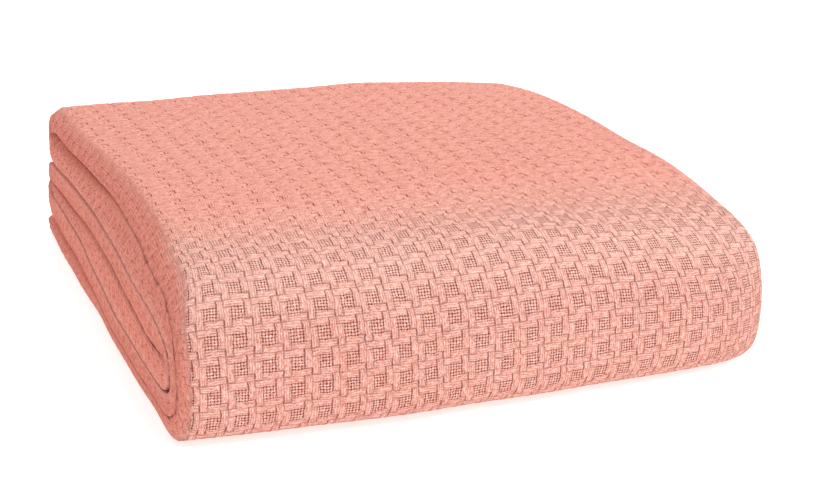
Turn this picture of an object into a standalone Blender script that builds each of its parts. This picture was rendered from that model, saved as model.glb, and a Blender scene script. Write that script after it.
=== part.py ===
"""A cotton thermal blanket, folded into a thick rectangular stack.

One rectangular cloth is folded in thirds and then in half across its width, which makes a strip of six
leaves. The strip is folded the same way along its length, so six passes of it lie on each other. X runs
along the front of the stack, Y from front to back, and Z up. The stack rests on z = 0, with the middle of
its outline over the origin. Sizes are in metres, and the tables are in millimetres.
"""

import math
from collections import namedtuple

import bpy

MM = 0.001

# Size of the stack, and how the cloth lies in it.
WIDTH = 356 * MM
DEPTH = 382 * MM
LEVELS = 6
FOLD_ORDER = (0, 5, 4, 1, 2, 3)
LEAF_SHARE = 0.80
PASS_GAP = 0.5 * MM

# The strip's own section: round noses on the left, small bends and free hems on the right.
NOSE_REACH = 8.0 * MM
BEND_REACH = 2.6 * MM
NOSE_STEPS = {5: 5, 3: 4, 1: 3}
BEND_STEPS = 2
RUNS = (0.0, 0.42, 0.80, 0.93, 1.0)

# Where the straight passes end, and how far the bends reach past them.
FRONT_LINE = 60 * MM
BACK_LINE = 352 * MM
PASS_STATIONS = (60, 125, 195, 270, 352)
FRONT_STEPS = 8
BACK_STEPS = 4

Heights = namedtuple("Heights", "depth first second third fourth fifth top")
# Heights of the creases between the passes, and of the top, at distances from the front.
HEIGHTS = (
    Heights(60, 11.0, 22.0, 41.0, 56.0, 70.5, 86.0),
    Heights(125, 11.5, 23.5, 46.5, 58.5, 74.5, 89.5),
    Heights(195, 12.5, 27.0, 47.5, 60.0, 75.5, 90.5),
    Heights(270, 14.5, 33.5, 44.5, 60.0, 75.5, 91.5),
    Heights(352, 13.5, 33.0, 40.5, 54.0, 72.0, 91.5),
    Heights(382, 12.5, 30.0, 38.0, 49.5, 70.0, 90.5),
)

Insets = namedtuple("Insets", "depth pass0 pass1 pass2 pass3 pass4 pass5")
# How far each pass stops short of the stack's left side. A minus sign is a pass that stands proud.
LEFT_INSETS = (
    Insets(60, -1.0, 0.0, 1.0, 0.5, 3.5, 12.0),
    Insets(125, -3.0, -1.5, -0.5, 0.5, 3.0, 14.0),
    Insets(195, -4.0, -2.5, -1.5, -0.5, 2.5, 11.5),
    Insets(270, -5.0, -3.5, -1.5, -0.5, 0.0, 5.5),
    Insets(352, -5.0, -3.5, -1.5, -1.0, 0.0, 1.5),
    Insets(382, -4.0, -3.5, -1.5, -1.0, -0.5, 0.0),
)
# The same on the right side, where the leaves turn back and the hems lie.
RIGHT_INSETS = (
    Insets(60, 8.0, 10.0, 7.0, 9.0, 7.0, 7.0),
    Insets(125, 6.0, 8.5, 9.5, 7.0, 5.0, 4.0),
    Insets(195, 5.0, 7.5, 9.0, 6.0, 3.5, 2.5),
    Insets(270, 6.5, 8.5, 7.0, 8.0, 4.5, 3.5),
    Insets(352, 8.0, 7.0, 8.5, 9.5, 8.0, 7.0),
    Insets(382, 9.0, 7.5, 9.5, 10.0, 9.0, 8.5),
)

FrontBend = namedtuple("FrontBend", "outer_set_back inner_set_back left_inset right_inset")
# The three bends nested round the front, from the outside in.
FRONT_BENDS = (
    FrontBend(0.0, 9.0, 8.0, 6.0),
    FrontBend(9.5, 18.0, 7.0, 8.0),
    FrontBend(21.5, 30.5, 6.0, 9.0),
)
FRONT_SQUARENESS_ABOVE = 0.88
FRONT_SQUARENESS_BELOW = 0.38

BackBend = namedtuple("BackBend", "reach hollow")
# The two bends at the back, by the crease that they close: how far they reach past BACK_LINE outside and
# inside.
BACK_BENDS = {
    5: BackBend(28.0, 13.0),
    2: BackBend(27.0, 13.0),
}
# How far the strip's two free ends reach past BACK_LINE.
FREE_ENDS = {0: 28.0, 3: 26.0}

# Soft corners and bowed sides of the whole stack, as shares of its height where they have no unit.
TOP_RIGHT_RADIUS = 25 * MM
FRONT_RIGHT_RADIUS = 44 * MM
BACK_RIGHT_RADIUS = 62 * MM
PILE_TOP = 88 * MM
FRONT_BOW = 18 * MM
FRONT_BOW_MIDDLE = 0.35
BACK_BOW = 5 * MM
BOW_DEPTH = 150 * MM
RIGHT_BULGE = 7 * MM
RIGHT_BULGE_MIDDLE = 0.42
CROWN = 0.02
FRONT_RIGHT_SAG = 0.13
BACK_RIGHT_SAG = 0.08

COTTON = (0.91, 0.42, 0.35, 1.0)
COTTON_ROUGHNESS = 0.92

HALF_LEAF = LEAF_SHARE / 2
EDGE = 0.5 - HALF_LEAF

SectionPoint = namedtuple("SectionPoint", "run nose bend level")
Station = namedtuple("Station", "start finish left right sense")


def column_at(rows, column, depth):
    """A table's column at a depth in metres, on a smooth curve through its rows, in metres."""
    at = depth / MM
    depths = [row.depth for row in rows]
    values = [getattr(row, column) for row in rows]
    at = min(max(at, depths[0]), depths[-1])
    last = len(rows) - 1
    i = min(next(n for n in range(last, -1, -1) if depths[n] <= at), last - 1)
    span = depths[i + 1] - depths[i]
    share = (at - depths[i]) / span

    def slope(n):
        before, after = max(n - 1, 0), min(n + 1, last)
        return (values[after] - values[before]) / (depths[after] - depths[before])

    rise = values[i + 1] - values[i]
    start, finish = slope(i) * span, slope(i + 1) * span
    value = values[i] + share * (
        start + share * (3 * rise - 2 * start - finish + share * (start + finish - 2 * rise))
    )
    return value * MM


def crease(level, depth):
    """Height of the crease under a pass, or of the top of the last pass."""
    if level == 0:
        return 0.0
    return column_at(HEIGHTS, Heights._fields[level], depth)


def lower_side(level, depth):
    return crease(level, depth) + (PASS_GAP / 2 if level else 0.0)


def upper_side(level, depth):
    return crease(level + 1, depth) - (PASS_GAP / 2 if level + 1 < LEVELS else 0.0)


def left_of(level, depth):
    return column_at(LEFT_INSETS, f"pass{level}", depth)


def right_of(level, depth):
    return column_at(RIGHT_INSETS, f"pass{level}", depth)


def section_face(face):
    """One face of the cloth across the strip, from the hem under it to the hem inside it.

    face is 1 for the face that looks out of the strip, and -1 for the other. Levels count leaves from
    0 to 6, and nose and bend are how far a turn reaches out, in leaves.
    """
    points = []
    for place, leaf in enumerate(FOLD_ORDER):
        rightward = place % 2 == 1
        level = leaf + 0.5 + face * HALF_LEAF * (1 if rightward else -1)
        runs = RUNS if rightward else RUNS[::-1]
        points += [SectionPoint(run, 0.0, 0.0, level) for run in runs]
        if place + 1 == LEVELS:
            break
        rise = FOLD_ORDER[place + 1] - leaf
        clockwise = (rise > 0) != rightward
        radius = abs(rise) / 2 + HALF_LEAF * (face if clockwise else -face)
        steps = BEND_STEPS if rightward else NOSE_STEPS[abs(rise)]
        for step in range(1, steps):
            angle = math.pi * step / steps
            reach = radius * math.sin(angle)
            height = leaf + 0.5 + rise / 2 - math.copysign(radius, rise) * math.cos(angle)
            nose, bend = (0.0, reach) if rightward else (reach, 0.0)
            points.append(SectionPoint(float(rightward), nose, bend, height))
    return points


def pass_station(level, depth, frontward):
    """The strip's two sides where it lies flat. It starts at the side that looks into the fold."""
    low = (depth, lower_side(level, depth))
    high = (depth, upper_side(level, depth))
    sides = (high, low) if frontward else (low, high)
    sense = 1 if frontward == (level % 2 == 0) else -1
    return Station(*sides, left_of(level, depth), right_of(level, depth), sense)


def front_curve(set_back, low, high, angle):
    """A point on a bend round the front, from straight down at -90 degrees to straight up at 90."""
    middle = crease(3, FRONT_LINE)
    squareness = FRONT_SQUARENESS_ABOVE if angle > 0 else FRONT_SQUARENESS_BELOW
    forward = (FRONT_LINE - set_back * MM) * max(math.cos(angle), 0.0) ** squareness
    height = (high - middle if angle > 0 else middle - low) * abs(math.sin(angle)) ** squareness
    return FRONT_LINE - forward, middle + math.copysign(height, angle)


def front_stations(level, partner):
    """The strip's sides round the front, from one pass to the pass that it turns into."""
    below, above = min(level, partner), max(level, partner)
    bend = FRONT_BENDS[below]
    rising = partner > level
    outer = (lower_side(below, FRONT_LINE), upper_side(above, FRONT_LINE))
    inner = (upper_side(below, FRONT_LINE), lower_side(above, FRONT_LINE))
    for step in range(1, FRONT_STEPS):
        angle = math.pi * (step / FRONT_STEPS - 0.5) * (1 if rising else -1)
        outside = front_curve(bend.outer_set_back, *outer, angle)
        inside = front_curve(bend.inner_set_back, *inner, angle)
        front = math.cos(angle) ** 2
        beside = above if angle > 0 else below
        left = left_of(beside, FRONT_LINE) * (1 - front) + bend.left_inset * MM * front
        right = right_of(beside, FRONT_LINE) * (1 - front) + bend.right_inset * MM * front
        sides = (inside, outside) if rising else (outside, inside)
        yield Station(*sides, left, right, 1 if rising else -1)


def back_stations(level, partner):
    """The strip's sides round the back, from one pass to the next."""
    below, above = min(level, partner), max(level, partner)
    bend = BACK_BENDS[above]
    rising = partner > level
    closed = crease(above, BACK_LINE)
    low = closed - lower_side(below, BACK_LINE)
    high = upper_side(above, BACK_LINE) - closed
    for step in range(1, BACK_STEPS):
        angle = math.pi * (step / BACK_STEPS - 0.5) * (1 if rising else -1)
        rise = math.sin(angle)
        outside = (BACK_LINE + bend.reach * MM * math.cos(angle), closed + (high if rise > 0 else low) * rise)
        inside = (BACK_LINE + bend.hollow * MM * math.cos(angle), closed + PASS_GAP / 2 * rise)
        share = 0.5 + 0.5 * rise
        depth = outside[0]
        left = left_of(below, depth) * (1 - share) + left_of(above, depth) * share
        right = right_of(below, depth) * (1 - share) + right_of(above, depth) * share
        sides = (outside, inside) if rising else (inside, outside)
        yield Station(*sides, left, right, -1 if rising else 1)


def strip_stations():
    """The strip's sides all the way along it, from the end under the stack to the end inside it."""
    stations = []
    for place, level in enumerate(FOLD_ORDER):
        frontward = place % 2 == 0
        depths = [depth * MM for depth in PASS_STATIONS]
        if level in FREE_ENDS:
            depths.append(BACK_LINE + FREE_ENDS[level] * MM)
        if frontward:
            depths.reverse()
        stations += [pass_station(level, depth, frontward) for depth in depths]
        if place + 1 == LEVELS:
            break
        turn = front_stations if frontward else back_stations
        stations += turn(level, FOLD_ORDER[place + 1])
    return stations


def round_corner(across, along, radius):
    """Moves a point that is this far inside a square corner's arc centre on to a round corner."""
    if across <= 0 or along <= 0:
        return across, along
    a, b = across / radius, along / radius
    return across * math.sqrt(1 - b * b / 2), along * math.sqrt(1 - a * a / 2)


def settled(x, y, z):
    """The stack's soft outline: its corners rounded, its front and back bowed and its top crowned."""
    dx, dz = x - (WIDTH - TOP_RIGHT_RADIUS), z - (PILE_TOP - TOP_RIGHT_RADIUS)
    dx, dz = round_corner(dx, dz, TOP_RIGHT_RADIUS)
    x, z = WIDTH - TOP_RIGHT_RADIUS + dx, PILE_TOP - TOP_RIGHT_RADIUS + dz
    dx, dy = round_corner(x - (WIDTH - FRONT_RIGHT_RADIUS), FRONT_RIGHT_RADIUS - y, FRONT_RIGHT_RADIUS)
    x, y = WIDTH - FRONT_RIGHT_RADIUS + dx, FRONT_RIGHT_RADIUS - dy
    back = DEPTH - BACK_RIGHT_RADIUS
    dx, dy = round_corner(x - (WIDTH - BACK_RIGHT_RADIUS), y - back, BACK_RIGHT_RADIUS)
    x, y = WIDTH - BACK_RIGHT_RADIUS + dx, back + dy
    across, back_share = x / WIDTH, min(max(y / DEPTH, 0.0), 1.0)
    rightward = max(0.0, 2 * across - 1)
    x -= RIGHT_BULGE * ((z / PILE_TOP - RIGHT_BULGE_MIDDLE) / (1 - RIGHT_BULGE_MIDDLE)) ** 2 * rightward
    near_front = max(0.0, 1 - y / BOW_DEPTH) ** 2
    near_back = max(0.0, 1 - (DEPTH - y) / BOW_DEPTH) ** 2
    y -= FRONT_BOW * (1 - ((across - FRONT_BOW_MIDDLE) / (1 - FRONT_BOW_MIDDLE)) ** 2) * near_front
    y += BACK_BOW * (1 - (2 * across - 1) ** 2) * near_back
    z *= 1 + CROWN * (1 - (2 * across - 1) ** 2) * math.sin(math.pi * back_share)
    z *= 1 - rightward**2 * (FRONT_RIGHT_SAG * near_front + BACK_RIGHT_SAG * near_back)
    return x, y, z


def place_point(point, station):
    """Where a point of the strip's section lies, at a station along the strip."""
    share = (point.level - EDGE) / (LEVELS - 2 * EDGE)
    y = station.start[0] + (station.finish[0] - station.start[0]) * share
    z = station.start[1] + (station.finish[1] - station.start[1]) * share
    nose_line = station.left + NOSE_REACH
    bend_line = WIDTH - station.right - BEND_REACH
    x = nose_line + (bend_line - nose_line) * point.run
    x -= NOSE_REACH * point.nose / (LEVELS / 2 - EDGE)
    x += BEND_REACH * point.bend / (1 - EDGE)
    return settled(x, y, z)


def blanket_mesh():
    """The whole cloth as one closed skin: its section carried along the strip, with a hem at each end."""
    out_face, in_face = section_face(1), section_face(-1)
    loop = out_face + in_face[::-1]
    stations = strip_stations()
    points = [place_point(point, station) for station in stations for point in loop]
    around, half = len(loop), len(out_face)
    faces = []
    for i in range(len(stations) - 1):
        for j in range(around):
            k = (j + 1) % around
            a, b, c, d = i * around + j, i * around + k, (i + 1) * around + k, (i + 1) * around + j
            rightward = loop[k].run > loop[j].run
            if rightward == (stations[i].sense > 0):
                faces += [(a, b, c), (a, c, d)]
            else:
                faces += [(a, b, d), (b, c, d)]
    last = (len(stations) - 1) * around
    for j in range(half - 1):
        k, far, near = j + 1, around - 1 - j, around - 2 - j
        faces += [(j, far, near), (j, near, k)]
        faces += [(last + j, last + near, last + far), (last + j, last + k, last + near)]
    lows = [min(point[axis] for point in points) for axis in range(3)]
    highs = [max(point[axis] for point in points) for axis in range(3)]
    middle = ((lows[0] + highs[0]) / 2, (lows[1] + highs[1]) / 2, lows[2])
    points = [tuple(value - shift for value, shift in zip(point, middle)) for point in points]
    mesh = bpy.data.meshes.new("blanket")
    mesh.from_pydata(points, [], faces)
    mesh.validate()
    mesh.shade_smooth()
    return mesh


def cotton_material():
    material = bpy.data.materials.new("woven_cotton")
    material.use_nodes = True
    shader = material.node_tree.nodes["Principled BSDF"]
    shader.inputs["Base Color"].default_value = COTTON
    shader.inputs["Roughness"].default_value = COTTON_ROUGHNESS
    shader.inputs["Metallic"].default_value = 0.0
    return material


def main():
    for thing in list(bpy.data.objects):
        bpy.data.objects.remove(thing, do_unlink=True)
    blanket = bpy.data.objects.new("blanket", blanket_mesh())
    blanket.data.materials.append(cotton_material())
    bpy.context.scene.collection.objects.link(blanket)


main()
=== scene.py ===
"""A cotton thermal blanket in a raised basket weave, folded into a thick stack.

The cloth has two coordinates, in metres: s runs across it and p along it. The section of a strip of six
leaves is carried along the strip, which lies in six passes on each other. The face of the cloth that shows
has the weave's bars and grooves in its mesh, and the threads and pinholes are in the material.
"""

import math
from collections import namedtuple

import bpy
import numpy as np
from mathutils import Matrix, Vector


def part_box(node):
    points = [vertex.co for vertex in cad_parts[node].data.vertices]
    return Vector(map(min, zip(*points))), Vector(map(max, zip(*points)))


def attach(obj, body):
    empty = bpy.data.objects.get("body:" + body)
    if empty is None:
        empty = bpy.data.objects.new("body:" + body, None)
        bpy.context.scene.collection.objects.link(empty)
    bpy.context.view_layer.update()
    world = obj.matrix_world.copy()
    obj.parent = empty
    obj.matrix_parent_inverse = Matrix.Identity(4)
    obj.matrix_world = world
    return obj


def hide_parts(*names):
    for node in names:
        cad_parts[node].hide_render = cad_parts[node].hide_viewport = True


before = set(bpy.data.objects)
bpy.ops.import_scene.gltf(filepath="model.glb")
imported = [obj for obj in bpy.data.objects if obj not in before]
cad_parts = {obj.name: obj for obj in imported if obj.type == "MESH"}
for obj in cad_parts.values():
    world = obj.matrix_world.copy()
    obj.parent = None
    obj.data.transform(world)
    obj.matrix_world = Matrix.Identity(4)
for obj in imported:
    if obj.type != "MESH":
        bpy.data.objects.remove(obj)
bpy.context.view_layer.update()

MM = 0.001

# Size of the stack, and the levels that the leaves of the strip, and then its passes, lie on in turn.
WIDTH = 356 * MM
DEPTH = 382 * MM
LEVELS = 6
FOLD_ORDER = (0, 5, 4, 1, 2, 3)
# How much of a level the cloth fills, how round the noses on the left are, from a square at 0 to 1, how far
# the bends on the right reach out, and where the passes end and the bends at the front and back begin.
LEAF_SHARE = 0.80
NOSE_ROUNDNESS = 0.45
BEND_REACH = 2.6 * MM
FRONT_LINE = 60 * MM
BACK_LINE = 352 * MM

Heights = namedtuple("Heights", "depth first second third fourth fifth top")
# Heights of the creases between the passes, and of the top, at distances from the front, in millimetres.
HEIGHTS = (
    Heights(60, 11.0, 22.0, 41.0, 56.0, 70.5, 86.0),
    Heights(125, 11.5, 23.5, 46.5, 58.5, 74.5, 89.5),
    Heights(195, 12.5, 27.0, 47.5, 60.0, 75.5, 90.5),
    Heights(270, 14.5, 33.5, 44.5, 60.0, 75.5, 91.5),
    Heights(352, 13.5, 33.0, 40.5, 54.0, 72.0, 91.5),
    Heights(382, 12.5, 30.0, 38.0, 49.5, 70.0, 90.5),
)

Edges = namedtuple("Edges", "depth floor first second third fourth fifth top reach gap")
# The folded left side, at distances from the front, in millimetres: how far its creases and its lower and
# upper edges lie inside it, how far each pass's nose reaches out, and the gap between two passes. A minus
# sign is an edge that stands proud.
LEFT_EDGES = (
    Edges(60, 2.0, 0.0, 0.5, 0.8, 2.0, 7.0, 14.0, 1.1, 0.03),
    Edges(125, 0.5, -1.6, -1.0, 0.0, 1.7, 8.5, 16.0, 2.4, 0.05),
    Edges(195, -0.5, -2.6, -2.0, -1.0, 1.0, 7.5, 14.0, 4.4, 0.12),
    Edges(270, -3.6, -4.0, -2.5, -1.4, -0.2, 3.0, 8.0, 6.5, 0.20),
    Edges(352, -3.0, -3.2, -2.3, -1.6, -0.9, 0.3, 1.6, 7.0, 0.18),
    Edges(382, -2.2, -2.8, -2.2, -1.6, -1.0, -0.5, 0.2, 7.0, 0.15),
)
Notches = namedtuple("Notches", "depth floor first second third fourth fifth top")
# How round the noses turn in at each crease, in thousandths: at 1000 they are round, and near 0 square and
# close together.
NOTCHES = (
    Notches(60, 600, 50, 30, 250, 30, 50, 900),
    Notches(125, 700, 80, 60, 350, 60, 150, 1000),
    Notches(195, 800, 250, 150, 450, 250, 600, 1000),
    Notches(270, 900, 800, 300, 400, 500, 1000, 1000),
    Notches(352, 1000, 1000, 150, 200, 150, 1100, 1000),
    Notches(382, 1000, 1000, 100, 100, 80, 1100, 1000),
)
Insets = namedtuple("Insets", "depth pass0 pass1 pass2 pass3 pass4 pass5")
# How far each pass stops short of the right side, where the leaves turn back and the hems lie.
RIGHT_INSETS = (
    Insets(60, 8.0, 10.0, 7.0, 9.0, 7.0, 7.0),
    Insets(125, 6.0, 8.5, 9.5, 7.0, 5.0, 4.0),
    Insets(195, 5.0, 7.5, 9.0, 6.0, 3.5, 2.5),
    Insets(270, 6.5, 8.5, 7.0, 8.0, 4.5, 3.5),
    Insets(352, 8.0, 7.0, 8.5, 9.5, 8.0, 7.0),
    Insets(382, 9.0, 7.5, 9.5, 10.0, 9.0, 8.5),
)

FrontBend = namedtuple("FrontBend", "outer_set_back inner_set_back outer_left inner_left right_inset")
# The three bends nested round the front, from the outside in, in millimetres.
FRONT_BENDS = (
    FrontBend(0.0, 9.0, 7.0, 3.0, 6.0),
    FrontBend(9.5, 18.0, 3.0, 2.0, 8.0),
    FrontBend(21.5, 30.5, 2.0, 2.0, 9.0),
)
# How round their left ends turn in, as in NOTCHES but as a share, and how round they are above and below
# their middle, from a square at 0 to 1.
FRONT_NOTCH = 0.04
FRONT_ROUNDNESS_ABOVE = 0.88
FRONT_ROUNDNESS_BELOW = 0.38

BackBend = namedtuple("BackBend", "reach hollow below above")
# The two bends at the back, by the crease that they close: how far they reach past BACK_LINE outside and
# inside, in millimetres, and how round they are below and above it, from a square at 0 to 1.
BACK_BENDS = {
    5: BackBend(28.0, 13.0, 0.25, 0.8),
    2: BackBend(27.0, 13.0, 0.8, 0.2),
}
# How far the strip's two free ends reach past BACK_LINE, in millimetres.
FREE_ENDS = {0: 28.0, 3: 26.0}

# Soft corners and bowed sides of the whole stack. Where they have no unit they are shares: the middle of
# the front's bow of the width, and the others of the height.
TOP_RIGHT_RADIUS = 25 * MM
BOTTOM_RIGHT_RADIUS = 25 * MM
TOP_LEFT_RADII = (30 * MM, 8 * MM)
FRONT_LEFT_RADIUS = 12 * MM
FRONT_RIGHT_RADIUS = 50 * MM
BACK_RIGHT_RADIUS = 70 * MM
PILE_TOP = 88 * MM
FRONT_BOW = 18 * MM
FRONT_BOW_MIDDLE = 0.35
BACK_BOW = 5 * MM
BOW_DEPTH = 150 * MM
RIGHT_BULGE = 9.5 * MM
RIGHT_BULGE_MIDDLE = 0.42
CROWN = 0.02
FRONT_RIGHT_SAG = 0.19
BACK_RIGHT_SAG = 0.12

# The cloth's own lengths: a leaf of the strip, what a nose on the left takes up by how many levels it
# climbs, and what a bend on the right takes up.
LEAF_LENGTH = 339 * MM
NOSE_LENGTHS = {5: 22 * MM, 3: 12 * MM, 1: 4 * MM}
BEND_LENGTH = 7 * MM

# One repeat of the weave: bars of three threads round a plain square of four.
REPEAT = 14.05 * MM
BAR_THREADS = 3
PLAIN_THREADS = 4
BAR = 0.275
SHOULDER = 0.05
# How far the cloth's face sinks below the tops of the bars, as shares of half its thickness: where a bar's
# end goes under the next one, along its sides, and over the plain square.
END_RELIEF = 0.95
SIDE_RELIEF = 0.32
PLAIN_RELIEF = 0.28
# How open the weave lies where it is flat or folded, against 1 round the front, and how much of its relief
# is left there.
FLAT_OPENNESS = 0.12
FLAT_RELIEF = 0.75

# Lines of the mesh in a repeat, at its grooves and on its bars: close together across the cloth and along
# the front, the top and the back, and fewer along the other passes.
CLOSE_LINES = (0.0, BAR / 2, BAR, BAR + SHOULDER, 1 - BAR - SHOULDER, 1 - BAR, 1 - BAR / 2)
OPEN_LINES = (0.0, BAR / 2, BAR, 1 - BAR, 1 - BAR / 2)

# Lines of the mesh where no face shows: their shares of a leaf, and how many carry each turn and stretch.
LEAF_SHARES = (0.0, 0.3, 0.6, 0.8, 0.9, 0.96, 1.0)
NOSE_STEPS = {5: 8, 3: 6, 1: 4}
BEND_STEPS = 4
STRETCH_STEPS = {"pass": 12, "front": 14, "back": 8}
# How far the close mesh runs past the nose on the left, the rim on the right and the front, and how far
# before the end of the bend at the back it stops.
NOSE_MARGIN = 4 * MM
RIM_MARGIN = 3 * MM
FRONT_MARGIN = 10 * MM
BACK_MARGIN = 6 * MM
# How near two places count as one, and how many points a bend's length is measured with.
TOUCH = 1e-6
TURN_SAMPLES = 401

# Half the cloth's thickness in levels, and how far from a level's side the cloth starts.
HALF_LEAF = LEAF_SHARE / 2
EDGE = 0.5 - HALF_LEAF


def column_at(rows, column, depth):
    """A table's column at depths in metres, on a smooth curve through its rows, in metres."""
    depths = np.array([row.depth for row in rows], float)
    values = np.array([getattr(row, column) for row in rows], float)
    last = len(rows) - 1
    at = np.clip(np.asarray(depth) / MM, depths[0], depths[-1])
    i = np.clip(np.searchsorted(depths, at, side="right") - 1, 0, last - 1)
    before = np.maximum(np.arange(last + 1) - 1, 0)
    after = np.minimum(np.arange(last + 1) + 1, last)
    slopes = (values[after] - values[before]) / (depths[after] - depths[before])
    span = depths[i + 1] - depths[i]
    share = (at - depths[i]) / span
    rise = values[i + 1] - values[i]
    start, finish = slopes[i] * span, slopes[i + 1] * span
    value = values[i] + share * (
        start + share * (3 * rise - 2 * start - finish + share * (start + finish - 2 * rise))
    )
    return value * MM


def crease(level, depth):
    """Height of the crease under a pass, or of the top of the last pass."""
    if level == 0:
        return np.zeros_like(np.asarray(depth, float))
    return column_at(HEIGHTS, Heights._fields[level], depth)


def half_gap(depth):
    return column_at(LEFT_EDGES, "gap", depth) / 2


def lower_side(level, depth):
    return crease(level, depth) + (half_gap(depth) if level else 0.0)


def upper_side(level, depth):
    return crease(level + 1, depth) - (half_gap(depth) if level + 1 < LEVELS else 0.0)


def beside(crease_level, depth):
    """The left edge at a crease, and how round the noses turn in there."""
    left = column_at(LEFT_EDGES, Edges._fields[crease_level + 1], depth)
    notch = column_at(NOTCHES, Notches._fields[crease_level + 1], depth)
    return left, notch


def right_of(level, depth):
    return column_at(RIGHT_INSETS, f"pass{level}", depth)


def blend(a, b, share):
    return a + (b - a) * share


def turn_length(rise, rightward):
    return BEND_LENGTH if rightward else NOSE_LENGTHS[abs(rise)]


def eased_angle(share):
    """From -90 to 90 degrees, slowly at the ends and the middle, where a square bend changes fastest."""
    half = 2 * share - 1
    t = np.abs(half)
    return math.pi / 2 * np.sign(half) * t**3 / (t**3 + (1 - t) ** 3)


def travel_along(a, b):
    """How far along a line of points each one lies."""
    return np.concatenate([[0.0], np.cumsum(np.hypot(np.diff(a), np.diff(b)))])


def square_turn():
    """A nose of the strip, squarer than a half circle: even shares of its length, and how far it reaches
    out and back there."""
    angle = eased_angle(np.linspace(0, 1, TURN_SAMPLES))
    across = np.maximum(np.cos(angle), 0.0) ** NOSE_ROUNDNESS
    along = -np.sign(angle) * np.abs(np.sin(angle)) ** NOSE_ROUNDNESS
    travel = travel_along(across, along)
    return travel / travel[-1], across, along


def section(s, face):
    """Where the cloth lies across the strip: along its leaf, how far out round a nose and that nose's
    radius, how far out round a bend, and its level.

    face is 1 on the face of the cloth that looks out of the strip, and -1 on the other.
    """
    run, nose, radius, bend, level = (np.zeros_like(s) for _ in range(5))
    start = 0.0
    turn_share, turn_across, turn_along = square_turn()
    for place, leaf in enumerate(FOLD_ORDER):
        rightward = place % 2 == 1
        here = s >= start
        share = np.clip((s - start) / LEAF_LENGTH, 0, 1)
        run[here] = (share if rightward else 1 - share)[here]
        nose[here] = bend[here] = 0.0
        level[here] = (leaf + 0.5 + face * HALF_LEAF * (1 if rightward else -1))[here]
        start += LEAF_LENGTH
        if place + 1 == LEVELS:
            break
        rise = FOLD_ORDER[place + 1] - leaf
        length = turn_length(rise, rightward)
        here = s >= start
        share = np.clip((s - start) / length, 0, 1)
        clockwise = (rise > 0) != rightward
        size = abs(rise) / 2 + HALF_LEAF * (face if clockwise else -face)
        if rightward:
            fall = np.cos(math.pi * share)
            bend[here] = (size * np.sin(math.pi * share))[here]
        else:
            fall = np.interp(share, turn_share, turn_along)
            nose[here] = np.interp(share, turn_share, turn_across)[here]
            radius[here] = size[here]
        level[here] = (leaf + 0.5 + rise / 2 - math.copysign(1, rise) * size * fall)[here]
        start += length
    return run, nose, radius, bend, level


def leaf_start(place):
    """Where a leaf starts across the cloth."""
    turns = zip(FOLD_ORDER[:place], FOLD_ORDER[1:place + 1])
    return place * LEAF_LENGTH + sum(
        turn_length(b - a, i % 2 == 1) for i, (a, b) in enumerate(turns)
    )


CLOTH_WIDTH = leaf_start(LEVELS - 1) + LEAF_LENGTH


def front_curve(set_back, low, high, angle):
    """A bend round the front, from straight down at -90 degrees to straight up at 90."""
    middle = crease(3, FRONT_LINE)
    above = angle > 0
    roundness = np.where(above, FRONT_ROUNDNESS_ABOVE, FRONT_ROUNDNESS_BELOW)
    forward = (FRONT_LINE - set_back * MM) * np.maximum(np.cos(angle), 0.0) ** roundness
    height = np.where(above, high - middle, middle - low) * np.abs(np.sin(angle)) ** roundness
    return FRONT_LINE - forward, middle + np.copysign(height, angle)


def front_sides(level, partner, angle):
    """The strip's outside and inside round the front (y, z, left edge and notch), and its right inset."""
    below, above = min(level, partner), max(level, partner)
    bend = FRONT_BENDS[below]
    outer = lower_side(below, FRONT_LINE), upper_side(above, FRONT_LINE)
    inner = upper_side(below, FRONT_LINE), lower_side(above, FRONT_LINE)
    front = np.cos(angle) ** 2

    def turned(low, high, bend_left):
        ends = zip(beside(high, FRONT_LINE), beside(low, FRONT_LINE), (bend_left * MM, FRONT_NOTCH))
        return (blend(np.where(angle > 0, upper, lower), middle, front) for upper, lower, middle in ends)

    right = np.where(angle > 0, right_of(above, FRONT_LINE), right_of(below, FRONT_LINE))
    return (
        (*front_curve(bend.outer_set_back, *outer, angle), *turned(below, above + 1, bend.outer_left)),
        (*front_curve(bend.inner_set_back, *inner, angle), *turned(below + 1, above, bend.inner_left)),
        blend(right, bend.right_inset * MM, front),
    )


def back_sides(level, partner, angle):
    """The strip's outside and inside round the back (y, z, left edge and notch), and its right inset."""
    below, above = min(level, partner), max(level, partner)
    bend = BACK_BENDS[above]
    closed = crease(above, BACK_LINE)
    low = closed - lower_side(below, BACK_LINE)
    high = upper_side(above, BACK_LINE) - closed
    rise = np.sin(angle)
    roundness = np.where(rise > 0, bend.above, bend.below)
    depth = BACK_LINE + bend.reach * MM * np.maximum(np.cos(angle), 0.0) ** roundness
    share = 0.5 + 0.5 * rise
    hollow = BACK_LINE + bend.hollow * MM * np.cos(angle)
    ends = zip(beside(below, depth), beside(above + 1, depth))
    return (
        (depth, closed + np.where(rise > 0, high, low) * rise, *(blend(*pair, share) for pair in ends)),
        (hollow, closed + half_gap(BACK_LINE) * rise, *beside(above, hollow)),
        blend(right_of(below, depth), right_of(above, depth), share),
    )


def turn_travel(sides, level, partner):
    """The length of a bend's outside, sampled at even shares of its easing."""
    y, z, *_ = sides(level, partner, eased_angle(np.linspace(0, 1, TURN_SAMPLES)))[0]
    return travel_along(y, z)


Stretch = namedtuple("Stretch", "start length kind level partner")


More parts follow.
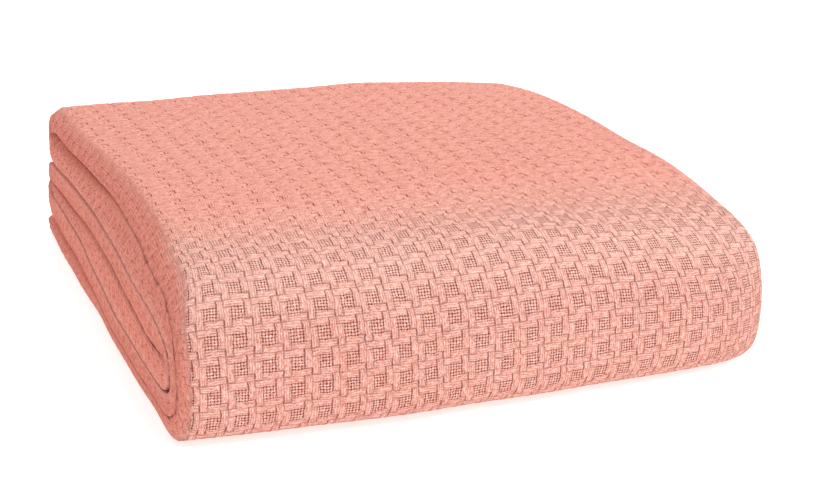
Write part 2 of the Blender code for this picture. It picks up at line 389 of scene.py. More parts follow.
def strip_stretches():
    """The strip's passes and bends in turn, from the end under the stack to the end inside it."""
    stretches, start = [], 0.0
    for place, level in enumerate(FOLD_ORDER):
        length = BACK_LINE - FRONT_LINE + FREE_ENDS.get(level, 0.0) * MM
        stretches.append(Stretch(start, length, "pass", level, level))
        start += length
        if place + 1 == LEVELS:
            break
        partner = FOLD_ORDER[place + 1]
        kind, sides = (("front", front_sides), ("back", back_sides))[place % 2]
        length = turn_travel(sides, level, partner)[-1]
        stretches.append(Stretch(start, length, kind, level, partner))
        start += length
    return stretches


STRETCHES = strip_stretches()
CLOTH_LENGTH = STRETCHES[-1].start + STRETCHES[-1].length


def strip_sides(p):
    """The strip's starting and finishing side (y, z, left edge and notch) and its right inset, along it."""
    sides = np.zeros((9, len(p)))
    for place, stretch in enumerate(STRETCHES):
        here = p >= stretch.start
        travel = np.minimum(p[here] - stretch.start, stretch.length)
        level, partner = stretch.level, stretch.partner
        if stretch.kind == "pass":
            frontward = place % 4 == 0
            back = BACK_LINE + FREE_ENDS.get(level, 0.0) * MM
            depth = back - travel if frontward else FRONT_LINE + travel
            low = depth, lower_side(level, depth), *beside(level, depth)
            high = depth, upper_side(level, depth), *beside(level + 1, depth)
            start, finish = (high, low) if frontward else (low, high)
            right = right_of(level, depth)
        else:
            turn = front_sides if stretch.kind == "front" else back_sides
            rising = partner > level
            climb = travel if rising else stretch.length - travel
            share = np.interp(climb, turn_travel(turn, level, partner), np.linspace(0, 1, TURN_SAMPLES))
            outside, inside, right = turn(level, partner, eased_angle(share))
            outward = rising == (stretch.kind == "front")
            start, finish = (inside, outside) if outward else (outside, inside)
        sides[:, here] = np.array([*start, *finish, right])
    return sides


def round_corner(across, along, radius):
    """Moves points that are this far inside a square corner's arc centre on to a round corner."""
    inside = (across > 0) & (along > 0)
    a, b = np.clip(across / radius, 0, 1), np.clip(along / radius, 0, 1)
    return (
        np.where(inside, across * np.sqrt(1 - b * b / 2), across),
        np.where(inside, along * np.sqrt(1 - a * a / 2), along),
    )


def settled(x, y, z):
    """The stack's soft outline: its corners rounded, its front and back bowed and its top crowned."""
    dx, dz = x - (WIDTH - TOP_RIGHT_RADIUS), z - (PILE_TOP - TOP_RIGHT_RADIUS)
    dx, dz = round_corner(dx, dz, TOP_RIGHT_RADIUS)
    x, z = WIDTH - TOP_RIGHT_RADIUS + dx, PILE_TOP - TOP_RIGHT_RADIUS + dz
    radius = blend(*TOP_LEFT_RADII, np.clip(y / DEPTH, 0, 1))
    dx, dz = round_corner(radius - x, z - (PILE_TOP - radius), radius)
    x, z = radius - dx, PILE_TOP - radius + dz
    dx, dz = x - (WIDTH - BOTTOM_RIGHT_RADIUS), BOTTOM_RIGHT_RADIUS - z
    dx, dz = round_corner(dx, dz, BOTTOM_RIGHT_RADIUS)
    x, z = WIDTH - BOTTOM_RIGHT_RADIUS + dx, BOTTOM_RIGHT_RADIUS - dz
    dx, dy = round_corner(FRONT_LEFT_RADIUS - x, FRONT_LEFT_RADIUS - y, FRONT_LEFT_RADIUS)
    x, y = FRONT_LEFT_RADIUS - dx, FRONT_LEFT_RADIUS - dy
    dx, dy = round_corner(x - (WIDTH - FRONT_RIGHT_RADIUS), FRONT_RIGHT_RADIUS - y, FRONT_RIGHT_RADIUS)
    x, y = WIDTH - FRONT_RIGHT_RADIUS + dx, FRONT_RIGHT_RADIUS - dy
    back = DEPTH - BACK_RIGHT_RADIUS
    dx, dy = round_corner(x - (WIDTH - BACK_RIGHT_RADIUS), y - back, BACK_RIGHT_RADIUS)
    x, y = WIDTH - BACK_RIGHT_RADIUS + dx, back + dy
    across, back_share = x / WIDTH, np.clip(y / DEPTH, 0.0, 1.0)
    rightward = np.maximum(0.0, 2 * across - 1)
    x = x - RIGHT_BULGE * ((z / PILE_TOP - RIGHT_BULGE_MIDDLE) / (1 - RIGHT_BULGE_MIDDLE)) ** 2 * rightward
    near_front = np.maximum(0.0, 1 - y / BOW_DEPTH) ** 2
    near_back = np.maximum(0.0, 1 - (DEPTH - y) / BOW_DEPTH) ** 2
    y = y - FRONT_BOW * (1 - ((across - FRONT_BOW_MIDDLE) / (1 - FRONT_BOW_MIDDLE)) ** 2) * near_front
    y = y + BACK_BOW * (1 - (2 * across - 1) ** 2) * near_back
    z = z * (1 + CROWN * (1 - (2 * across - 1) ** 2) * np.sin(math.pi * back_share))
    z = z * (1 - rightward**2 * (FRONT_RIGHT_SAG * near_front + BACK_RIGHT_SAG * near_back))
    return x, y, z


Drift = namedtuple("Drift", "reach along_x along_y turn")
# Slow waves that carry the weave's columns and rows a little out of line, and swell the top: how far they
# reach in millimetres, their waves per metre, and where they start.
COLUMN_DRIFTS = (Drift(0.5, 3.1, 4.3, 0.4), Drift(0.3, 9.7, 4.1, 2.2), Drift(0.2, 19.0, 13.0, 4.0))
ROW_DRIFTS = (Drift(0.5, 5.3, 3.7, 1.1), Drift(0.35, 11.3, 5.1, 3.0), Drift(0.2, 14.0, 21.0, 0.2))
SWELLS = (Drift(0.35, 4.3, 6.1, 0.9), Drift(0.25, 9.1, 7.7, 2.6), Drift(0.15, 17.0, 13.0, 5.1))


def drift(drifts, x, y):
    return sum(
        d.reach * MM * np.sin(2 * math.pi * (d.along_x * x + d.along_y * y) + d.turn) for d in drifts
    )


def uneven(x, y, z):
    """The small unevenness of laid cloth."""
    height = z / PILE_TOP
    return (
        x + drift(COLUMN_DRIFTS, x, y + z),
        y + drift(ROW_DRIFTS, x, y + z),
        z * (1 + drift(SWELLS, x, y) / PILE_TOP * height),
    )


def cloth_points(s, p, face):
    """Places in space of points of the cloth."""
    run, nose, radius, bend, level = section(s, face)
    sides = strip_sides(p)
    share = (level - EDGE) / (LEVELS - 2 * EDGE)
    y, z, left, notch = blend(sides[0:4], sides[4:8], share)
    reach = column_at(LEFT_EDGES, "reach", y)
    x = blend(left + reach, WIDTH - sides[8] - BEND_REACH, run)
    x = x - reach * radius * nose**notch / (LEVELS / 2 - EDGE) + BEND_REACH * bend / (1 - EDGE)
    return np.stack(uneven(*settled(x, y, z)), axis=1)


Field = namedtuple("Field", "low_u high_u low_v high_v weft")
# The four bars round the plain square in a repeat, by their sides and by which way their threads run.
BARS = (
    Field(0, 1 - BAR, 1 - BAR, 1, True),
    Field(1 - BAR, 1, BAR, 1, False),
    Field(BAR, 1, 0, BAR, True),
    Field(0, BAR, 0, 1 - BAR, False),
)


def weave_relief(s, p):
    """How far the cloth's face sinks below the tops of the bars, as a share of half its thickness."""
    sunk = np.zeros_like(s)
    # A place at the start of a repeat is at the end of the one before it too.
    for turn_u, turn_v in ((0, 0), (0, 1), (1, 0), (1, 1)):
        u, v = s / REPEAT % 1 + turn_u, p / REPEAT % 1 + turn_v
        for bar in BARS:
            beside_u = np.minimum(u - bar.low_u, bar.high_u - u)
            beside_v = np.minimum(v - bar.low_v, bar.high_v - v)
            inside = np.minimum(beside_u, beside_v) > -TOUCH
            end, side = (beside_u, beside_v) if bar.weft else (beside_v, beside_u)
            fall = np.maximum(
                END_RELIEF * (1 - np.clip(end / SHOULDER, 0, 1)),
                SIDE_RELIEF * (1 - np.clip(side / SHOULDER, 0, 1)),
            )
            sunk = np.where(inside, np.maximum(sunk, fall), sunk)
    u, v = s / REPEAT % 1, p / REPEAT % 1
    plain = (u > BAR + TOUCH) & (u < 1 - BAR - TOUCH) & (v > BAR + TOUCH) & (v < 1 - BAR - TOUCH)
    return np.where(plain, PLAIN_RELIEF, sunk)


# Where the weave closes: along the cloth behind the front, and across it towards the nose on the left.
CLOSING = (STRETCHES[2].start - 14 * MM, STRETCHES[2].start + 58 * MM)
FOLDING = (leaf_start(1) + 1 * MM, leaf_start(1) - 13 * MM)
# Where the painted highlight on the cloth that rolls over the front lies: from where it rises to where it
# fades.
HIGHLIGHT_RISE = (STRETCHES[2].start - 75 * MM, STRETCHES[2].start - 35 * MM)
HIGHLIGHT_FALL = (STRETCHES[2].start - 40 * MM, STRETCHES[2].start + 28 * MM)


def openness(s, p):
    """How open the weave lies, from FLAT_OPENNESS to 1."""
    open_share = 1.0
    for place, (start, finish) in ((p, CLOSING), (s, FOLDING)):
        share = np.clip((place - start) / (finish - start), 0, 1)
        open_share = open_share * (1 - share**2 * (3 - 2 * share))
    return blend(FLAT_OPENNESS, 1.0, open_share)


def repeat_lines(low, high, shares):
    """The weave's lines between two places in the cloth, with both ends."""
    cells = range(math.floor(low / REPEAT), math.ceil(high / REPEAT))
    lines = [(cell + share) * REPEAT for cell in cells for share in sorted(shares)]
    return [low] + [line for line in lines if low + 0.3 * MM < line < high - 0.3 * MM] + [high]


def between(lines, low, high):
    return [line for line in lines if low - TOUCH <= line <= high + TOUCH]


# Lines of the mesh across or along a band of the cloth: few of them, or with the weave's own among them.
Band = namedtuple("Band", "few close")


def band(low, high, wanted, shares=None):
    """A band's lines: the wanted places, moved to the weave's nearest lines if it has them."""
    wanted = [low] + [place for place in wanted if low + 1.5 * MM < place < high - 1.5 * MM] + [high]
    if shares is None:
        return Band(wanted, wanted)
    close = repeat_lines(low, high, shares)
    few = sorted({min(close, key=lambda line: abs(line - place)) for place in wanted})
    return Band(few, close)


def section_places():
    """Places across the cloth that carry its section, closer where the stack's right side is rounded."""
    places = []
    for place in range(LEVELS):
        start, rightward = leaf_start(place), place % 2 == 1
        places += [start + (share if rightward else 1 - share) * LEAF_LENGTH for share in LEAF_SHARES]
        if place + 1 < LEVELS:
            steps = BEND_STEPS if rightward else NOSE_STEPS[abs(FOLD_ORDER[place + 1] - FOLD_ORDER[place])]
            places += list(np.linspace(start + LEAF_LENGTH, leaf_start(place + 1), steps + 1)[1:-1])
    return sorted(places)


def strip_places():
    """Places along the cloth that carry its passes and bends."""
    return [
        stretch.start + stretch.length * step / STRETCH_STEPS[stretch.kind]
        for stretch in STRETCHES
        for step in range(STRETCH_STEPS[stretch.kind])
    ]


class Skin:
    """The cloth's closed skin, built in rectangles of its two coordinates."""

    def __init__(self):
        self.index = {}
        self.faces = []

    def vertex(self, s, p, face):
        return self.index.setdefault((round(s, 7), round(p, 7), face), len(self.index))

    def add(self, corners, face):
        loop = [self.vertex(s, p, face) for s, p in corners]
        self.faces.append(loop if face > 0 else loop[::-1])

    def rectangle(self, s_lines, p_lines, sides, face):
        """Faces of one rectangle. sides has the lines that its neighbours leave on its edges: those across
        the cloth before and after it, then those along the cloth before and after it."""
        s_before, s_after, p_before, p_after = sides
        for j, (p0, p1) in enumerate(zip(p_lines, p_lines[1:])):
            for i, (s0, s1) in enumerate(zip(s_lines, s_lines[1:])):
                near = between(s_before, s0, s1) if j == 0 else [s0, s1]
                far = between(s_after, s0, s1) if j == len(p_lines) - 2 else [s0, s1]
                first = between(p_before, p0, p1) if i == 0 else [p0, p1]
                second = between(p_after, p0, p1) if i == len(s_lines) - 2 else [p0, p1]
                self.add(
                    [(s, p0) for s in near[:-1]] + [(s1, p) for p in second[:-1]]
                    + [(s, p1) for s in far[:0:-1]] + [(s0, p) for p in first[:0:-1]],
                    face,
                )

    def close_edges(self, showing_s, hidden_s, p_lines):
        """The hems along both sides, and the cut ends."""
        for p0, p1 in zip(p_lines, p_lines[1:]):
            for s, (a, b) in ((0.0, (p0, p1)), (CLOTH_WIDTH, (p1, p0))):
                self.faces.append(
                    [self.vertex(s, a, 1), self.vertex(s, b, 1), self.vertex(s, b, -1), self.vertex(s, a, -1)]
                )
        for p, step in ((0.0, -1), (CLOTH_LENGTH, 1)):
            for s0, s1 in zip(hidden_s, hidden_s[1:]):
                outer = [self.vertex(s, p, 1) for s in between(showing_s, s0, s1)]
                inner = [self.vertex(s1, p, -1), self.vertex(s0, p, -1)]
                self.faces.append((outer + inner)[:: step])

    def mesh(self, name):
        s, p, face = np.array(list(self.index)).T
        sunk = np.where(face > 0, weave_relief(s, p) * blend(FLAT_RELIEF, 1.0, openness(s, p)), 0.0)
        points = centred(cloth_points(s, p, face - sunk))
        mesh = bpy.data.meshes.new(name)
        mesh.from_pydata(points.tolist(), [], self.faces)
        uv = mesh.uv_layers.new(name="weave")
        corners = np.empty(len(mesh.loops), np.int32)
        mesh.loops.foreach_get("vertex_index", corners)
        uv.data.foreach_set("uv", (np.stack([s, p], 1) / REPEAT)[corners].astype(np.float32).ravel())
        return mesh


def centred(points):
    """Points moved so that their box stands where the solid's does."""
    low, high = (np.array(corner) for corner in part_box("blanket"))
    shift = (low + high) / 2 - (points.min(axis=0) + points.max(axis=0)) / 2
    shift[2] = low[2] - points[:, 2].min()
    return points + shift


def blanket_mesh():
    """The whole cloth. Its face that shows is close meshed: round the nose on the left all along the strip,
    and over the top, the front and the back of the outermost leaf."""
    places, stations = section_places(), strip_places()
    nose_start = leaf_start(0) + LEAF_LENGTH - NOSE_MARGIN
    nose_end = leaf_start(1) + NOSE_MARGIN
    rim_end = leaf_start(2) + RIM_MARGIN
    front_start = STRETCHES[1].start - FRONT_MARGIN
    back_end = STRETCHES[3].start + STRETCHES[3].length - BACK_MARGIN
    across = (
        band(0.0, nose_start, places),
        band(nose_start, nose_end, places, CLOSE_LINES),
        band(nose_end, rim_end, places, CLOSE_LINES),
        band(rim_end, CLOTH_WIDTH, places),
    )
    along = (
        band(0.0, front_start, stations, OPEN_LINES),
        band(front_start, back_end, stations, CLOSE_LINES),
        band(back_end, CLOTH_LENGTH, stations, OPEN_LINES),
    )

    def shows(i, j):
        return i == 1 or (i, j) == (2, 1)

    def lines(of, *regions):
        return of.close if any(shows(i, j) for i, j in regions) else of.few

    skin = Skin()
    for i, s_band in enumerate(across):
        for j, p_band in enumerate(along):
            here = (i, j)
            sides = (
                lines(s_band, here, (i, j - 1)),
                lines(s_band, here, (i, j + 1)),
                lines(p_band, here, (i - 1, j)),
                lines(p_band, here, (i + 1, j)),
            )
            skin.rectangle(lines(s_band, here), lines(p_band, here), sides, 1)
    hidden_s = sorted({line for s_band in across for line in s_band.few})
    showing_s = sorted({line for i, s_band in enumerate(across) for line in lines(s_band, (i, 0))})
    p_lines = sorted({line for p_band in along for line in p_band.few})
    skin.rectangle(hidden_s, p_lines, (hidden_s, hidden_s, p_lines, p_lines), -1)
    skin.close_edges(showing_s, hidden_s, p_lines)
    mesh = skin.mesh("blanket_cloth")
    mesh.shade_smooth()
    return mesh


class Graph:
    """A material's nodes, with short names for the sums that a weave takes."""

    def __init__(self, name):
        self.material = bpy.data.materials.new(name)
        self.material.use_nodes = True
        self.nodes = self.material.node_tree.nodes
        self.links = self.material.node_tree.links
        self.shader = self.nodes["Principled BSDF"]

    def put(self, value, socket):
        if isinstance(value, bpy.types.NodeSocket):
            self.links.new(value, socket)
        else:
            socket.default_value = value

    def math(self, operation, *values, clamp=False):
        node = self.nodes.new("ShaderNodeMath")
        node.operation = operation
        node.use_clamp = clamp
        for value, socket in zip(values, node.inputs):
            self.put(value, socket)
        return node.outputs[0]

    def times(self, *values):
        product = values[0]
        for value in values[1:]:
            product = self.math("MULTIPLY", product, value)
        return product

    def plus(self, *values):
        total = values[0]
        for value in values[1:]:
            total = self.math("ADD", total, value)
        return total

    def less(self, a, b):
        return self.math("LESS_THAN", a, b)

    def opposite(self, value):
        return self.math("SUBTRACT", 1.0, value)

    def ramp(self, value, low, high, start=0.0, finish=1.0):
        """value from low to high, as a smooth step from start to finish."""
        node = self.nodes.new("ShaderNodeMapRange")
        node.interpolation_type = "SMOOTHSTEP"
        for number, socket in zip((value, low, high, start, finish), node.inputs):
            self.put(number, socket)
        return node.outputs[0]

    def noise(self, place, scale, detail=2.0, roughness=0.5, output="Fac"):
        node = self.nodes.new("ShaderNodeTexNoise")
        self.put(place, node.inputs["Vector"])
        node.inputs["Scale"].default_value = scale
        node.inputs["Detail"].default_value = detail
        node.inputs["Roughness"].default_value = roughness
        return node.outputs[output]

    def mix_value(self, share, a, b):
        return self.plus(self.times(self.opposite(share), a), self.times(share, b))

    def mix(self, share, a, b, blend_type="MIX"):
        node = self.nodes.new("ShaderNodeMix")
        node.data_type = "RGBA"
        node.blend_type = blend_type
        sockets = [socket for socket in node.inputs if socket.type == "RGBA"]
        self.put(share, node.inputs[0])
        self.put(a, sockets[0])
        self.put(b, sockets[1])
        return [socket for socket in node.outputs if socket.type == "RGBA"][0]

    def bump(self, height, distance, strength):
        node = self.nodes.new("ShaderNodeBump")
        node.inputs["Strength"].default_value = strength
        node.inputs["Distance"].default_value = distance
        self.put(height, node.inputs["Height"])
        return node.outputs["Normal"]


# The weave's dark lines: painted shade in the grooves round its bars, deeper on some sides of the bars than
# on others, as the light falls. They are darkest where a bar's end goes under the next one: which way they
# run, where they lie in the repeat, from where to where they run, and how dark they are.
BarLine = namedtuple("BarLine", "upright place low high dark")
BAR_SHADE_LINES = (
    BarLine(True, 1 - BAR, 1 - BAR, 1.0, 1.0),
    BarLine(True, 1 - BAR, BAR, 1 - BAR, 0.45),
    BarLine(True, 0.0, 0.0, BAR, 1.0),
    BarLine(True, 0.0, BAR, 1 - BAR, 0.15),
    BarLine(True, 0.0, 1 - BAR, 1.0, 0.45),
    BarLine(True, BAR, 0.0, BAR, 0.40),
    BarLine(True, BAR, BAR, 1 - BAR, 0.30),
    BarLine(False, 0.0, 0.0, BAR, 0.60),
    BarLine(False, 0.0, BAR, 1 - BAR, 0.15),
    BarLine(False, 0.0, 1 - BAR, 1.0, 0.35),
    BarLine(False, BAR, 1 - BAR, 1.0, 0.55),
    BarLine(False, BAR, BAR, 1 - BAR, 0.25),
    BarLine(False, 1 - BAR, 0.0, BAR, 0.35),
    BarLine(False, 1 - BAR, BAR, 1 - BAR, 0.35),
)
# Half a dark line's width, and where in the bar the pinholes of the plain square begin, in repeats.
LINE_HALF_WIDTH = 0.055
PINHOLE_EDGE = BAR - 0.08
# How dark a line has to be to count as a bar's end.
END_DARK = 0.5
# The range that the threads wander over, in repeats, half of it to each side.
WANDER = 0.15
# How high up the ridges of its threads a pinhole stays dark, where it ends at least, and how much higher
# it ends at most.
PINHOLE_DARK = 0.60
PINHOLE_SIZE = 0.98
PINHOLE_SIZE_MORE = 0.50
# How much paler the cotton is away from the folded side, and how much more where it rolls over the front, as
# a painted highlight.
PALER_ALL_OVER = 0.07
HIGHLIGHT_ROLLED = 0.20

# The cotton's colours: the palest is painted highlight on the threads' tops and where the cloth rolls over
# the front; the light and deep ones are its own tone, with painted shade between the threads towards the deep
# one; the darkest is painted shade in the grooves and pinholes. Then two tints, where the weave is open and,
# as painted shade, where it is folded on the left.
COTTON_HIGHLIGHT = (0.95, 0.67, 0.58, 1.0)
COTTON_LIGHT = (0.90, 0.385, 0.305, 1.0)
COTTON_DEEP = (0.62, 0.185, 0.135, 1.0)
COTTON_GAP_SHADE = (0.22, 0.016, 0.010, 1.0)
COTTON_OPEN = (0.89, 0.99, 1.0, 1.0)
COTTON_FOLDED_SHADE = (0.98, 0.84, 0.82, 1.0)


def thread_count(g, place):
    """How many threads lie before a place in the repeat. They lie closer in the bars than in between."""
    counts = ((0.0, BAR, BAR_THREADS), (BAR, 1 - BAR, PLAIN_THREADS), (1 - BAR, 1.0, BAR_THREADS))
    parts = []
    for low, high, count in counts:
        node = g.nodes.new("ShaderNodeMapRange")
        for number, socket in zip((place, low, high, 0.0, float(count)), node.inputs):
            g.put(number, socket)
        parts.append(node.outputs[0])
    return g.plus(*parts)


def in_repeats(places):
    return [place / REPEAT for place in places]


Coordinate = namedtuple("Coordinate", "place share count ridge")


def cloth_coordinates(g):
    """The cloth's two coordinates, from which the threads wander a little: each one's place in repeats and
    share of its repeat, how many threads lie before it there, and how high its thread is, as a ridge."""
    uv = g.nodes.new("ShaderNodeUVMap")
    uv.uv_map = "weave"
    wobble = g.noise(uv.outputs[0], 2.6, 4.0, 0.75, "Color")
    wander = g.nodes.new("ShaderNodeVectorMath")
    wander.operation = "MULTIPLY_ADD"
    for value, socket in zip((wobble, (WANDER, WANDER, 0.0), uv.outputs[0]), wander.inputs):
        g.put(value, socket)
    split = g.nodes.new("ShaderNodeSeparateXYZ")
    g.put(wander.outputs[0], split.inputs[0])
    coordinates = []
    for output in (split.outputs["X"], split.outputs["Y"]):
        place = g.math("SUBTRACT", output, WANDER / 2)
        share = g.math("FRACT", place)
        count = thread_count(g, share)
        ridge = g.math("ABSOLUTE", g.math("SINE", g.times(count, math.pi)))
        coordinates.append(Coordinate(place, share, count, ridge))
    return coordinates


def folded_and_opened(g, u, v):
    """How far the cloth is folded on the left, and how open its weave is, as openness() has it."""
    folded = g.ramp(u.place, *in_repeats(reversed(FOLDING)), 1.0, 0.0)
    opened = g.times(g.ramp(v.place, *in_repeats(CLOSING), 1.0, 0.0), g.opposite(folded))
    return folded, g.plus(FLAT_OPENNESS, g.times(opened, 1 - FLAT_OPENNESS))


def paler_and_highlight_share(g, v, folded):
    """How much paler the cloth is away from the folded side, most of all in a painted highlight over the
    front.
    """
    rise = g.ramp(v.place, *in_repeats(HIGHLIGHT_RISE))
    rolled_highlight = g.times(rise, g.ramp(v.place, *in_repeats(HIGHLIGHT_FALL), 1.0, 0.0))
    return g.times(g.opposite(folded), g.plus(PALER_ALL_OVER, g.times(rolled_highlight, HIGHLIGHT_ROLLED)))


def woven_threads(g, u, v):
    """How high the threads stand, and where those of the warp lie on top. In the plain square, warp and weft
    threads take turns on top."""
    low_u, low_v = g.less(u.share, BAR), g.less(v.share, BAR)
    high_u, high_v = g.less(1 - BAR, u.share), g.less(1 - BAR, v.share)
    warp = g.plus(g.times(high_u, g.opposite(low_v)), g.times(low_u, g.opposite(high_v)))
    weft = g.plus(g.times(high_v, g.opposite(high_u)), g.times(low_v, g.opposite(low_u)))
    plain = g.opposite(g.plus(warp, weft))
    over = g.math("MODULO", g.plus(g.math("FLOOR", u.count), g.math("FLOOR", v.count)), 2.0)
    checked = g.plus(
        g.times(over, u.ridge, g.plus(0.7, g.times(v.ridge, 0.3))),
        g.times(g.opposite(over), v.ridge, g.plus(0.7, g.times(u.ridge, 0.3))),
    )
    threads = g.plus(g.times(warp, u.ridge), g.times(weft, v.ridge), g.times(plain, checked))
    return threads, warp


def plain_pinhole_shade(g, u, v):
    """Painted shade in the pinholes between the threads of the plain square, each of its own size."""
    hole = g.nodes.new("ShaderNodeTexWhiteNoise")
    hole.noise_dimensions = "2D"
    counted = g.nodes.new("ShaderNodeCombineXYZ")
    near_plain = 1.0
    for axis, socket in zip((u, v), counted.inputs):
        threads_before = g.times(g.math("FLOOR", axis.place), float(2 * BAR_THREADS + PLAIN_THREADS))
        g.put(g.plus(threads_before, g.math("ROUND", axis.count)), socket)
        inside = g.times(g.less(PINHOLE_EDGE, axis.share), g.less(axis.share, 1 - PINHOLE_EDGE))
        near_plain = g.times(near_plain, inside)
    g.put(counted.outputs[0], hole.inputs["Vector"])
    size = g.plus(PINHOLE_SIZE, g.times(hole.outputs["Value"], PINHOLE_SIZE_MORE))
    return g.times(near_plain, g.ramp(g.plus(u.ridge, v.ridge), PINHOLE_DARK, size, 1.0, 0.0))


def painted_shade_lines(g, u, v, lines):
    """How dark the painted shade is along some of the weave's dark lines."""
    darkest = 0.0
    for line in lines:
        across, along = (u.share, v.share) if line.upright else (v.share, u.share)
        away = g.math("ABSOLUTE", g.math("SUBTRACT", across, line.place))
        if line.place == 0.0:
            away = g.math("MINIMUM", away, g.opposite(away))
        dark = g.ramp(away, 0.0, LINE_HALF_WIDTH, line.dark, 0.0)
        if line.low > 0:
            dark = g.times(dark, g.less(line.low, along))
        if line.high < 1:
            dark = g.times(dark, g.less(along, line.high))
        darkest = g.math("MAXIMUM", darkest, dark)
    return darkest


def plane_noise(g, coordinates, scale, detail, roughness):
    """Noise over a plane, at a place with these two coordinates."""
    place = g.nodes.new("ShaderNodeCombineXYZ")
    for coordinate, socket in zip(coordinates, place.inputs):
        g.put(coordinate, socket)
    return g.noise(place.outputs[0], scale, detail, roughness)


def cotton_material():
    g = Graph("thermal_cotton")
    u, v = cloth_coordinates(g)
    folded, opened = folded_and_opened(g, u, v)
    threads, warp = woven_threads(g, u, v)
    pinholes = plain_pinhole_shade(g, u, v)
    ends = painted_shade_lines(g, u, v, [line for line in BAR_SHADE_LINES if line.dark >= END_DARK])
    edges = painted_shade_lines(g, u, v, [line for line in BAR_SHADE_LINES if line.dark < END_DARK])

    # A fine fuzz, slow changes of tone over the whole cloth, fibres along each thread, and ripples.
    place = g.nodes.new("ShaderNodeTexCoord").outputs["Object"]
    fuzz = g.ramp(g.noise(place, 1500.0, 3.0, 0.6), 0.30, 0.70)
    tone = g.ramp(g.noise(place, 16.0, 4.0, 0.6), 0.30, 0.70)
    strand = [
        g.mix_value(across, g.times(axis.place, 3.6), g.plus(axis.count, g.math("FLOOR", axis.place)))
        for axis, across in ((u, warp), (v, g.opposite(warp)))
    ]
    fibres = g.ramp(plane_noise(g, strand, 1.3, 3.0, 0.7), 0.34, 0.66)
    rippled = (g.times(u.place, 2.2), g.times(v.place, 4.0))
    ripple = g.ramp(plane_noise(g, rippled, 1.0, 2.0, 0.6), 0.32, 0.68)
    waves = g.mix_value(opened, ripple, g.plus(0.35, g.times(ripple, 0.3)))

    # The gaps' painted shade is at the bars' ends, which show less on the folded side, and at their other
    # edges and the pinholes, which show most where the weave is open.
    uneven_ends = g.plus(0.48, g.times(ripple, 0.30), g.times(fibres, 0.20))
    uneven_edges = g.plus(0.04, g.times(ripple, 0.95), g.times(fibres, 1.0))
    uneven_holes = g.plus(0.92, g.times(fibres, 0.20))
    ends = g.times(ends, uneven_ends, g.opposite(g.times(folded, 0.50)))
    edges = g.times(edges, opened, opened, uneven_edges)
    pinholes = g.times(pinholes, g.math("POWER", opened, 2.5), uneven_holes)
    gap = g.math("MAXIMUM", g.math("MAXIMUM", ends, edges), pinholes, clamp=True)

    # The threads' term darkens the colour between the threads as painted shade; the other terms vary the
    # cotton's own tone.
    shade_and_tone = g.plus(
        g.times(threads, 0.30),
        g.times(fuzz, 0.40),
        g.times(fibres, 0.42),
        g.times(tone, 0.03),
        g.times(waves, 0.26),
    )
    cotton = g.mix(g.ramp(shade_and_tone, 0.26, 0.94), COTTON_DEEP, COTTON_LIGHT)
    cotton = g.mix(g.times(opened, 0.5), cotton, COTTON_OPEN, "MULTIPLY")
    # Painted highlight: the tops of threads and fibres turn paler where the weave is open.
    painted_highlight = g.times(g.ramp(shade_and_tone, 0.60, 1.15), g.math("POWER", opened, 0.6), 0.75)
    cotton = g.mix(g.plus(painted_highlight, paler_and_highlight_share(g, v, folded)), cotton, COTTON_HIGHLIGHT)
    # Painted shade on the folded left side: deeper and redder than the rest.
    cotton = g.mix(folded, cotton, COTTON_FOLDED_SHADE, "MULTIPLY")
    # Painted shade in the grooves and pinholes.
    g.put(g.mix(gap, cotton, COTTON_GAP_SHADE), g.shader.inputs["Base Color"])

    height = g.plus(
        g.times(threads, 0.5),
        g.times(fuzz, 0.25),
        g.times(fibres, 0.45),
        g.times(waves, 1.2),
        g.times(gap, -0.8),
    )
    g.put(g.bump(height, 0.5 * MM, 1.0), g.shader.inputs["Normal"])
    g.shader.inputs["Roughness"].default_value = 0.92
    g.shader.inputs["Specular IOR Level"].default_value = 0.0
    g.shader.inputs["Sheen Weight"].default_value = 0.02
    g.shader.inputs["Sheen Roughness"].default_value = 0.6
    g.shader.inputs["Sheen Tint"].default_value = (1.0, 0.82, 0.76, 1.0)
    return g.material


def plain_material(name, colour, roughness):
    g = Graph(name)
    g.shader.inputs["Base Color"].default_value = colour
    g.shader.inputs["Roughness"].default_value = roughness
    return g.material


def stage_floor():
    reach = 6.0
    corners = [(-reach, -reach, 0), (reach, -reach, 0), (reach, reach, 0), (-reach, reach, 0)]
    mesh = bpy.data.meshes.new("studio_floor")
    mesh.from_pydata(corners, [], [(0, 1, 2, 3)])
    white = plain_material("studio_white", (0.80, 0.80, 0.80, 1.0), 0.7)
    shader = white.node_tree.nodes["Principled BSDF"]
    shader.inputs["Emission Color"].default_value = (1.0, 1.0, 1.0, 1.0)
    shader.inputs["Emission Strength"].default_value = 0.6
    mesh.materials.append(white)
    floor = bpy.data.objects.new("studio_floor", mesh)
    bpy.context.scene.collection.objects.link(floor)


Light = namedtuple("Light", "name place size power colour")
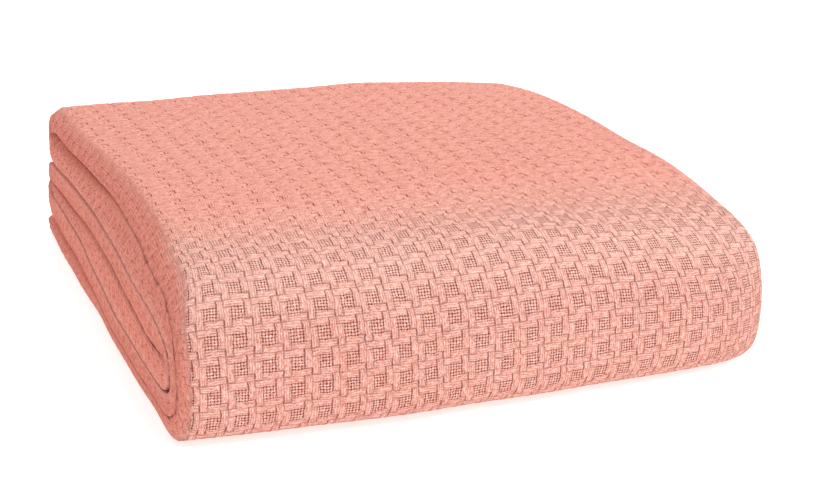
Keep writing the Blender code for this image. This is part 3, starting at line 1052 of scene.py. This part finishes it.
# Square lights that look at the blanket's middle: places and sizes in metres, power in watts.
LIGHTS = (
    Light("key", (0.9, -1.6, 1.6), 1.0, 27.5, (1.0, 1.0, 1.0)),
    Light("top", (0.6, 0.5, 2.0), 1.6, 25.0, (1.0, 1.0, 1.0)),
    Light("fill", (-2.0, -0.4, 0.7), 1.2, 4.0, (1.0, 0.62, 0.55)),
)
LIT_PLACE = (0.0, 0.0, 0.05)
WORLD_STRENGTH = 0.54


def area_light(name, place, size, power, colour):
    light = bpy.data.lights.new(name, "AREA")
    light.size = size
    light.energy = power
    light.color = colour
    lamp = bpy.data.objects.new(name, light)
    lamp.location = place
    lamp.rotation_euler = (Vector(LIT_PLACE) - lamp.location).to_track_quat("-Z", "Y").to_euler()
    bpy.context.scene.collection.objects.link(lamp)


# The camera's place in metres, its turns, and its lens in millimetres, which were fitted to the photo.
CAMERA_PLACE = (-0.3291, -0.9771, 0.3693)
CAMERA_YAW = math.radians(19.50)
CAMERA_PITCH = math.radians(18.29)
CAMERA_ROLL = math.radians(0.12)
CAMERA_LENS = 77.615


def make_camera():
    camera = bpy.data.cameras.new("camera")
    camera.lens = CAMERA_LENS
    camera.sensor_width = 36.0
    camera.sensor_fit = "HORIZONTAL"
    holder = bpy.data.objects.new("camera", camera)
    turn = Matrix.Rotation(-CAMERA_YAW, 4, "Z") @ Matrix.Rotation(math.pi / 2 - CAMERA_PITCH, 4, "X")
    holder.matrix_world = Matrix.Translation(CAMERA_PLACE) @ turn @ Matrix.Rotation(CAMERA_ROLL, 4, "Z")
    bpy.context.scene.collection.objects.link(holder)
    bpy.context.scene.camera = holder


def make_light():
    world = bpy.data.worlds.new("studio")
    world.use_nodes = True
    background = world.node_tree.nodes["Background"]
    background.inputs["Color"].default_value = (1.0, 1.0, 1.0, 1.0)
    background.inputs["Strength"].default_value = WORLD_STRENGTH
    bpy.context.scene.world = world
    bpy.context.scene.view_settings.view_transform = "Standard"
    for light in LIGHTS:
        area_light(*light)


blanket_cloth = bpy.data.objects.new("blanket_cloth", blanket_mesh())
blanket_cloth.data.materials.append(cotton_material())
bpy.context.scene.collection.objects.link(blanket_cloth)
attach(blanket_cloth, "root")
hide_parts("blanket")

stage_floor()
make_light()
make_camera()
